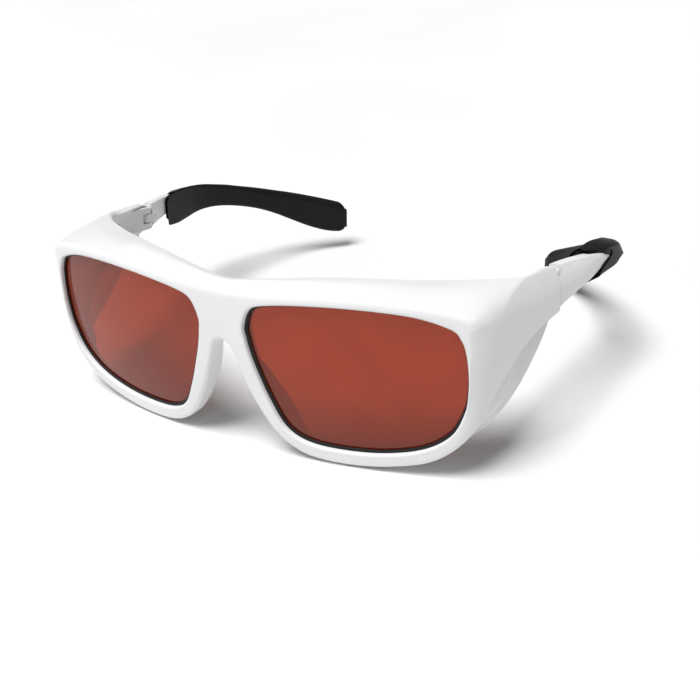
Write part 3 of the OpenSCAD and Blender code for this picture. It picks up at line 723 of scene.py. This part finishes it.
def lug_body():
    """The lug inside the front's side wall, drawn out of its plan."""
    splay = tan(SPLAY)
    front_x = HINGE_IN - WEB_LEN * splay
    plan = [(-KNUCKLE_R * 0.94, -KNUCKLE_R * 0.34),
            (front_x - WALL_T * 1.5, -WEB_LEN), (front_x - WALL_T * 1.3, -WEB_LEN),
            (HINGE_IN - WALL_T * 1.25, -LUG_END), (-KNUCKLE_R * 0.88, -LUG_END)]
    bm = bmesh.new()
    face = bm.faces.new([bm.verts.new((x, y, FOOT_LOW)) for x, y in plan])
    drawn = bmesh.ops.extrude_face_region(bm, geom=[face])["geom"]
    bmesh.ops.translate(bm, vec=(0, 0, EAR_TOP - FOOT_LOW),
                        verts=[g for g in drawn if isinstance(g, bmesh.types.BMVert)])
    bmesh.ops.recalc_face_normals(bm, faces=bm.faces)
    return at_hinge(bm)


FLANGE_FROM, FLANGE_TO = 15.3, 18.8
FLANGE_IN = 0.45
FLANGE_ROOT = 0.6
FLANGE_ROWS = 48
FLANGE_LINE = [(0.0, 1.0), (0.3, 0.98), (0.6, 0.92), (0.8, 0.8), (0.92, 0.6), (0.98, 0.34), (1, 0)]


def flange_pt(s, deep, v, w):
    """Place on the flange: v from root to free edge, w from face to face."""
    n, q = rim_out(s), rim(s)
    splay = FLANGE_SPLAY * v * v * deep / FLANGE_DEPTH
    p = q - n * (FLANGE_IN + FLANGE_T / 2 + splay + w * FLANGE_T / 2)
    start = face_y(q.x, q.y) + RIM_DEPTH - FLANGE_ROOT
    return Vector((p.x, start + (deep + FLANGE_ROOT) * v, p.y))


def nose_flange():
    """Leaf that grows out of the rim's back beside the nose, round along its free edge."""
    rows = []
    for k in range(FLANGE_ROWS + 1):
        u = mix(0.02, 0.98, k / FLANGE_ROWS)
        s = mix(FLANGE_FROM, FLANGE_TO, u)
        deep = FLANGE_DEPTH * sin(pi * u ** 0.75) ** 0.8
        rows.append([flange_pt(s, deep, v, -w) for v, w in FLANGE_LINE]
                    + [flange_pt(s, deep, v, w) for v, w in reversed(FLANGE_LINE[:-1])])
    return swept(rows)


def front_body():
    """The shell with its lugs, hinge ears, nose flanges and screw holes."""
    shell = front_shell()
    steps = []
    for side in (1, -1):
        steps += [("UNION", mirrored(bm, side)) for bm in
                  (lug_body(), pillar(KNUCKLE_R, FOOT_LOW, EAR_TOP, PILLAR_SOFT), nose_flange())]
    for side in (1, -1):
        slot = block((-KNUCKLE_R * 1.6, -KNUCKLE_R - 0.36, FOOT_TOP),
                     (KNUCKLE_R * 0.1, 1.2 * KNUCKLE_R + 0.3, EAR_LOW))
        steps += [("DIFFERENCE", mirrored(bm, side)) for bm in
                  (pillar(KNUCKLE_R + SEAM_GAP, FOOT_TOP, EAR_LOW), slot,
                   pillar(SCREW_R + RUN_GAP, FOOT_LOW - 1, EAR_TOP + 1),
                   pillar(HEAD_R + FIT, EAR_TOP - HEAD_H, EAR_TOP + 1),
                   pillar(INSERT_R + FIT, FOOT_LOW - 1, FOOT_LOW + INSERT_H))]
    return combined(shell, steps)


front = finish_piece(front_body(), "front_shell", white, "front")
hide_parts("front_frame")

LENS_EDGE = GROOVE - FIT - SEAL_T - FIT
LENS_FRONT = LIP_T + SEAL_T + 2 * FIT
LENS_MID = Vector((LENS_GAP / 2 + LENS_W / 2, LENS_TOP - LENS_H * 0.47))
LENS_SOFT = 0.25
LENS_RINGS = 14
EDGE_PLACES = [k / 8 for k in range(PLACES * 8)]


def lens_body():
    """A curved pane of even thickness, its edge softened."""
    radii = [0.02] + [k / LENS_RINGS for k in range(1, LENS_RINGS)]
    rings = [(u, 0, LENS_T) for u in radii]
    rings += [(1, -LENS_SOFT, LENS_T), (1, 0, LENS_T - LENS_SOFT), (1, 0, LENS_SOFT),
              (1, -LENS_SOFT, 0)]
    rings += [(u, 0, 0) for u in reversed(radii)]
    rows = []
    for u, inward, d in rings:
        rows.append([set_in(LENS_MID.lerp(opening(s) + opening_out(s) * (LENS_EDGE + inward), u),
                            LENS_FRONT + d) for s in EDGE_PLACES])
    return swept(rows)


SEAL_FRONT = LIP_T + FIT
SEAL_BACK = GROOVE_END - FIT
SEAL_OUT = GROOVE - FIT
BACK_LIP = 0.6


def seal_band_and_painted_shade(s):
    """The black band that shows is narrow along the top and the outer side and full along the
    bottom and the nose side. The seal is black rubber, but its wider band along the bottom and the
    nose side is painted shade: it stands in for the shaded lens edge and groove seen from above and
    to the right.
    """
    return mix(SEAL_SHOW, SEAL_THIN, ease(-0.5, 1, s) * (1 - ease(8.5, 11, s)) + ease(21, 22.5, s))


def seal_body():
    """U-shaped rubber strip round the lens, with rounded lips, the one at the back shorter."""
    r = SEAL_T / 2
    bed = SEAL_OUT - SEAL_T
    turns = [pi * k / 4 for k in range(5)]
    rows = []
    for s in EDGE_PLACES:
        # The band is wider along the bottom and the nose side, as painted shade of the shaded lens
        # edge and groove
        show, low = -seal_band_and_painted_shade(s), -seal_band_and_painted_shade(s) * BACK_LIP
        lip = [(show + r * (1 - sin(a)), SEAL_FRONT + r * (1 - cos(a))) for a in reversed(turns)]
        back_lip = [(low + r * (1 - sin(a)), SEAL_BACK - r * (1 - cos(a))) for a in turns]
        line = (lip + [(SEAL_OUT, SEAL_FRONT), (SEAL_OUT, SEAL_BACK)] + back_lip
                + [(bed, SEAL_BACK - SEAL_T), (bed, SEAL_FRONT + SEAL_T)])
        rows.append([near_opening(s, r_in, d) for r_in, d in line])
    bm = grid(len(rows), len(rows[0]), lambda r_at, c: rows[r_at][c], True, True)
    bmesh.ops.recalc_face_normals(bm, faces=bm.faces)
    return bm


SHIELD_EDGE = [Vector(p) for p in ((-3.9, -9.4, 0.9), (-6.8, -14.0, 0.9), (-12.8, -20.0, 1.0),
                                   (-21.4, -26.8, 1.4), (-31.0, -32.2, 2.6), (-39.6, -36.4, 5.6))]


SHIELD_FROM, SHIELD_TO = 8.75, 11.45
SHIELD_ROWS = 48


def shield_skin(s):
    """The side wall's inner skin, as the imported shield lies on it."""
    n = across(rim_out(s))
    b = back(s) - n * WALL_T
    q = set_in(rim(s) - rim_out(s) * WALL_T, RIM_DEPTH)
    return [mix(b, q, u) + n * dome(s, 1 - u) - n * SHIELD_GAP for u in (0.5, 0.36, 0.22, 0.1, 0)]


def shield_body():
    """Panel behind the side wall, with a rounded free edge."""
    rows = []
    for k in range(SHIELD_ROWS + 1):
        f = k / SHIELD_ROWS
        s = mix(SHIELD_FROM, SHIELD_TO, f)
        e = line_at(SHIELD_EDGE, 5 * f)
        y = SEAM_Y + e.x
        edge = Vector((wall_x(y) - e.z, y, e.y))
        n = across(rim_out(s))
        line = shield_skin(s)
        line += [mix(line[-1], edge, u) for u in (0.25, 0.5, 0.75)]
        way = (edge - line[4]).normalized()
        middle = edge - n * (SHIELD_T / 2) - way * (SHIELD_T / 2)
        tip = [middle + n * (SHIELD_T / 2 * cos(a)) + way * (SHIELD_T / 2 * sin(a))
               for a in (0, pi / 6, pi / 3, pi / 2, 2 * pi / 3, 5 * pi / 6, pi)]
        rows.append(line + tip + [p - n * SHIELD_T for p in reversed(line)])
    return swept(rows)


def run_at(y):
    """Share of the temple passed, from the seam to its end."""
    return (y - SEAM_Y) / (TEMPLE_END - SEAM_Y)


def arm_x(y):
    """Outer face of the temple, bowed outwards beyond the hinge."""
    return wall_x(y) + TEMPLE_BOW * ease(60, 80, y)


def temple_wide(y):
    return mix(TEMPLE_T, TEMPLE_END_T, run_at(y) ** 0.75)


def temple_up(y):
    return TEMPLE_TOP + TEMPLE_CLIMB * run_at(y) - TEMPLE_DROP * run_at(y) ** 1.8


def temple_high(y):
    return mix(TEMPLE_H, TEMPLE_END_H, run_at(y) ** 1.2)


def temple_mid(y):
    """Middle of the temple at a depth."""
    return Vector((arm_x(y) - temple_wide(y) / 2, y, temple_up(y) - temple_high(y) / 2))


def smooth_loop(points):
    """A closed outline, each corner rounded by cutting it twice."""
    for _ in range(2):
        points = [q for i, p in enumerate(points)
                  for q in (p.lerp(points[(i + 1) % len(points)], 0.22),
                            p.lerp(points[(i + 1) % len(points)], 0.78))]
    return points


def temple_section(y):
    """Outline of the temple, with the crease of the side carried on."""
    u, o, t, up = run_at(y), arm_x(y), temple_wide(y), temple_up(y)
    low = up - temple_high(y) + UNDER_LIFT * ease(78, 92, y)
    crease = min(crease_z(y), up - 1.1)
    tall = up - crease
    top_in = slope_in(tall)
    r = TEMPLE_ROUND * mix(1, 0.55, u)
    rise = mix(TEMPLE_RISE, TEMPLE_END_RISE, u)
    points = [(o - top_in - r * 1.5, up), (o - top_in - r * 0.45, up - r * 0.25),
              (o - top_in, up - r * 1.1), (o - slope_in(tall * 0.5), crease + tall * 0.5),
              (o - slope_in(tall * 0.1), crease + tall * 0.1), (o, crease - 0.2),
              (o, low + r), (o - r * 0.3, low + r * 0.3), (o - r, low),
              (o - t + r, low + rise), (o - t + r * 0.3, low + rise + r * 0.4),
              (o - t, low + rise + r * 1.4), (o - t, up - r * 1.2), (o - t + r * 0.4, up - r * 0.3),
              (o - t + r * 1.2, up)]
    return smooth_loop([Vector((x, y, z)) for x, z in points])


TEMPLE_ROWS = 56


def temple_body():
    """The temple with its knuckle and web, cleared round the ears of the front."""
    last_full = TEMPLE_END - TEMPLE_NOSE
    rows = [temple_section(mix(SEAM_Y + SEAM_GAP, last_full, k / TEMPLE_ROWS))
            for k in range(TEMPLE_ROWS + 1)]
    for a in [pi / 2 * k / 9 for k in range(1, 9)]:
        y = TEMPLE_END - TEMPLE_NOSE * (1 - sin(a))
        share = mix(0.2, 1, cos(a) ** 0.7)
        rows.append([temple_mid(y).lerp(p, share) for p in temple_section(y)])
    room = KNUCKLE_R + SEAM_GAP
    clear = block((-20, -10, -20), (room, room, 20))
    web = block((-KNUCKLE_R, 0, PIN_LOW), (KNUCKLE_R + 0.6, KNUCKLE_R + 1.2, PIN_TOP))
    return combined(swept(rows), [
        ("DIFFERENCE", clear), ("UNION", pillar(KNUCKLE_R, PIN_LOW, PIN_TOP, PILLAR_SOFT)),
        ("UNION", web), ("DIFFERENCE", pillar(SCREW_R + RUN_GAP, PIN_LOW - 1, PIN_TOP + 1))])


# Tip: its inner face lies along the temple, then turns inwards on an arc. Places along it
# are counted in tenths of the arc: 0 is the front end of the inner wall, 2 the arc's start
TIP_R = TIP_LEN / TIP_TURN
CURL_X = arm_x(CURL_Y) - LAP + 1.2
TIP_LOWS = [-8.3, -8.9, -8.5, -7.8, -7.75, -8.7, -10.4, -12.7, -15.9, -19.8, -23.4, -25.8, -26.4]
TIP_TOPS = [1.9, 2.1, 2.1, 1.6, 1.3, 0.2, -1.5, -3.2, -5.1, -7, -9.1, -11.3, -13.6]


def arc_pt(k):
    """Place on the arc that the tip turns in on, in tenths."""
    a = TIP_TURN * k / 10
    return Vector((CURL_X - TIP_R * (1 - cos(a)), CURL_Y + TIP_R * sin(a)))


face_line = [Vector((arm_x(y) - LAP, y)) for y in (MOUTH_Y, (MOUTH_Y + CURL_Y) / 2, CURL_Y - 0.5)]
face_line += [arc_pt(1) - Vector((0.15, 0))] + [arc_pt(k) for k in range(2, 11)]
TIP_LAST = len(face_line) - 1


def tip_side(t):
    """Outward direction along the tip, seen from above."""
    d = (line_at(face_line, t + STEP) - line_at(face_line, t - STEP)).normalized()
    return Vector((d.y, -d.x))


def bent(t, bend):
    """Drop of a place along the tip, from the bend set by hand."""
    return bend * ((max(0.0, t - 2) / 10) ** 1.3 - 0.08 * ease(0.5, 3, t))


def slope_low(t):
    """Tilt of the underside across the tip."""
    return mix(0.5, 0.33, ease(1, 4, t))


def slope_top(t):
    """Tilt of the top across the tip."""
    return mix(-0.3, 0.3, ease(2, 9, t))


def tip_wide(t, off_mid):
    """The collar fills out to the temple's outer face, furthest back at its middle height."""
    f = line_at(face_line, t)
    return mix(arm_x(f.y) - f.x + PROUD, PADDLE_T, ease(3.5, 5.5, t + 0.9 * off_mid))


CORNER_STEPS = 7
SIDE_STEPS = (6, 22, 6, 22)
ROUND = []
for corner, steps in enumerate(SIDE_STEPS):
    ROUND += [(corner, (corner + k / (CORNER_STEPS - 1)) * pi / 2, 0) for k in range(CORNER_STEPS)]
    ROUND += [(corner, (corner + 1) * pi / 2, k / steps) for k in range(1, steps)]


def oblong_at(place, w, h, r):
    """A numbered place round a rounded oblong of any size."""
    corner, a, share = ROUND[place]
    ends = []
    for c in (corner, (corner + 1) % 4):
        sx, sy = ((1, 1), (-1, 1), (-1, -1), (1, -1))[c]
        ends.append(Vector((sx * (w / 2 - r) + r * cos(a), sy * (h / 2 - r) + r * sin(a))))
    return ends[0].lerp(ends[1], share)


MARKS = [oblong_at(j, 2, 2, 0.3) for j in range(len(ROUND))]


def cut_at(m):
    """The mouth is cut on a slant, further back outside, and in a U round the temple's end."""
    corner = 0.0
    if m.y > 0.3:
        corner = 0.85 * ((m.y - 0.3) / 0.7) ** 2
    elif m.y < -0.6:
        corner = 0.4 * ((-m.y - 0.6) / 0.4) ** 2
    notch = NOTCH * ease(-0.7, 0.4, m.y) * (1 - 0.6 * ease(0.45, 1, m.y))
    return (SLANT * ease(-1, 1, m.x) + notch * ease(-0.3, 0.9, m.x)
            + (1 - ease(-0.9, 0.2, m.x)) * corner)


def tip_ring(side, row, trim, soft):
    """One closed ring round the outside of the tip."""
    ring = []
    for j, m in enumerate(MARKS):
        t = row + cut_at(m) * max(0.0, 1 - row / CUT_FADE)
        f, n, w = line_at(face_line, t), tip_side(t), tip_wide(t, abs(m.y))
        top = line_at(TIP_TOPS, t) - slope_top(t) * w
        low = line_at(TIP_LOWS, t)
        p = oblong_at(j, w - trim, top - low - 2 * trim, soft)
        a, b = w / 2 + p.x, 2 * p.y / (top - low)
        roll = ROLL[side] * (1 - ease(2, 7, t))
        lift = a * b * (slope_top(t) + roll if b > 0 else -slope_low(t))
        inward = CURL[side] * (max(0.0, t - 2) / 10) ** 2
        ring.append(Vector((f.x + n.x * a - inward, f.y + n.y * a,
                            (top + low) / 2 + p.y + lift - bent(t, BEND[side]))))
    return ring


CUP_END = TEMPLE_END + 1.2
CUP_ROWS = 12
TIP_ROWS = 80


def cup_ring(u, less=0.0):
    """The tip's hollow round the temple's end, met at the mouth by the same slant and U."""
    ring = []
    for j, m in enumerate(MARKS):
        y = mix(CUP_END, MOUTH_Y + 7.2 * cut_at(m), u)
        at = min(y, TEMPLE_END)
        w, h = temple_wide(at) + 2 * CUP_GAP, temple_high(at) + 2 * CUP_GAP + CUP_ROOM_UP
        p = oblong_at(j, w - less, h - less, CUP_ROUND)
        lift = (w / 2 + p.x) * CUP_SLOPE * max(0.0, 2 * p.y / h)
        ring.append(Vector((arm_x(y) - temple_wide(at) / 2 + p.x, y,
                            temple_up(at) + CUP_GAP + CUP_ROOM_UP - h / 2 + p.y + lift)))
    return ring


def tip_body(side):
    """The soft tip, from the bottom of its cup round the mouth to the end of the paddle."""
    rows = [cup_ring(0, CUP_NARROW)] + [cup_ring(k / CUP_ROWS) for k in range(CUP_ROWS + 1)]
    for a in [pi / 2 * k / 5 for k in range(6)]:
        rows.append(tip_ring(side, MOUTH_ROW * (1 - sin(a)), MOUTH_TRIM * (1 - sin(a)), 1))
    last_full = TIP_LAST - 0.5
    for k in range(1, TIP_ROWS + 1):
        soft = mix(1, 1.6, ease(0.4, 3.2, 8 * k / TIP_ROWS))
        rows.append(tip_ring(side, mix(MOUTH_ROW, last_full, k / TIP_ROWS), 0, soft))
    for a in [pi / 2 * k / 10 for k in range(1, 11)]:
        d = TIP_ROUND * (1 - cos(a))
        rows.append(tip_ring(side, TIP_LAST - 0.5 * (1 - sin(a)), min(d, 1.9), 1.6 - 0.28 * d))
    return swept(rows)


def pair(name, make, material, body, replaced):
    """The left and right piece of one kind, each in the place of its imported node."""
    for side, word in ((1, "left"), (-1, "right")):
        bm = mirrored(make(side), side)
        piece = finish_piece(bm, name + "_" + word, material, body[side])
        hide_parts(replaced + "_" + word)


FRONT = {1: "front", -1: "front"}
ARMS = {1: "arm_left", -1: "arm_right"}
pair("lens_pane", lambda side: lens_body(), filter_glass, FRONT, "lens")
pair("seal_strip", lambda side: seal_body(), seal_rubber, FRONT, "lens_seal")
pair("shield_panel", lambda side: shield_body(), wall_white, FRONT, "side_shield")
pair("temple_arm", lambda side: temple_body(), white, ARMS, "temple")
pair("tip_sleeve", tip_body, tip_rubber, ARMS, "tip")

for word in ("left", "right"):
    for name, finish in (("tip_core_", core_steel), ("hinge_screw_", screw_steel),
                         ("hinge_insert_", insert_brass)):
        metal = nodes[name + word]
        metal.data.materials.clear()
        metal.data.materials.append(finish)

# Camera at the photograph's angle, worked out as worn and stood with the glasses
FOCAL_PX = 972.0
FRAME_PX = 700.0
SENSOR_MM = 36.0
NEAREST = 0.01
EYE = Vector((158.9, -208.4, 90.0))
RIGHT = Vector((0.8744, 0.4853, 0.0))
UP = Vector((-0.1848, 0.3329, 0.9247))
BACK = Vector((0.4487, -0.8085, 0.3807))
camera_data = bpy.data.cameras.new("camera")
camera_data.sensor_width = SENSOR_MM
camera_data.lens = FOCAL_PX / FRAME_PX * SENSOR_MM
camera_data.clip_start = NEAREST
camera = bpy.data.objects.new("camera", camera_data)
bpy.context.scene.collection.objects.link(camera)
axes = Matrix((RIGHT, UP, BACK)).transposed().to_4x4()
camera.matrix_world = Matrix.Translation(STAND @ EYE) @ turn @ axes
bpy.context.scene.camera = camera

FLOOR_HALF = 6.0
floor_mesh = bmesh.new()
bmesh.ops.create_grid(floor_mesh, x_segments=1, y_segments=1, size=FLOOR_HALF)
floor_data = bpy.data.meshes.new("floor")
floor_mesh.to_mesh(floor_data)
floor_mesh.free()
floor_obj = bpy.data.objects.new("floor", floor_data)
bpy.context.scene.collection.objects.link(floor_obj)
floor_data.materials.append(floor_paint)

# One wide lamp above and in front, and a weak white sky
SUN_FROM = Vector((-0.12, -0.32, 0.94))
SUN_STRENGTH = 3.7
SUN_SPREAD = radians(32)
SKY_STRENGTH = 0.2
sun_data = bpy.data.lights.new("overhead", "SUN")
sun_data.energy = SUN_STRENGTH
sun_data.angle = SUN_SPREAD
sun = bpy.data.objects.new("overhead", sun_data)
sun.rotation_euler = SUN_FROM.to_track_quat("Z", "Y").to_euler()
bpy.context.scene.collection.objects.link(sun)
world = bpy.data.worlds.new("studio")
bpy.context.scene.world = world
world.use_nodes = True
world.node_tree.nodes["Background"].inputs["Color"].default_value = (1, 1, 1, 1)
world.node_tree.nodes["Background"].inputs["Strength"].default_value = SKY_STRENGTH
bpy.context.scene.view_settings.view_transform = "Standard"
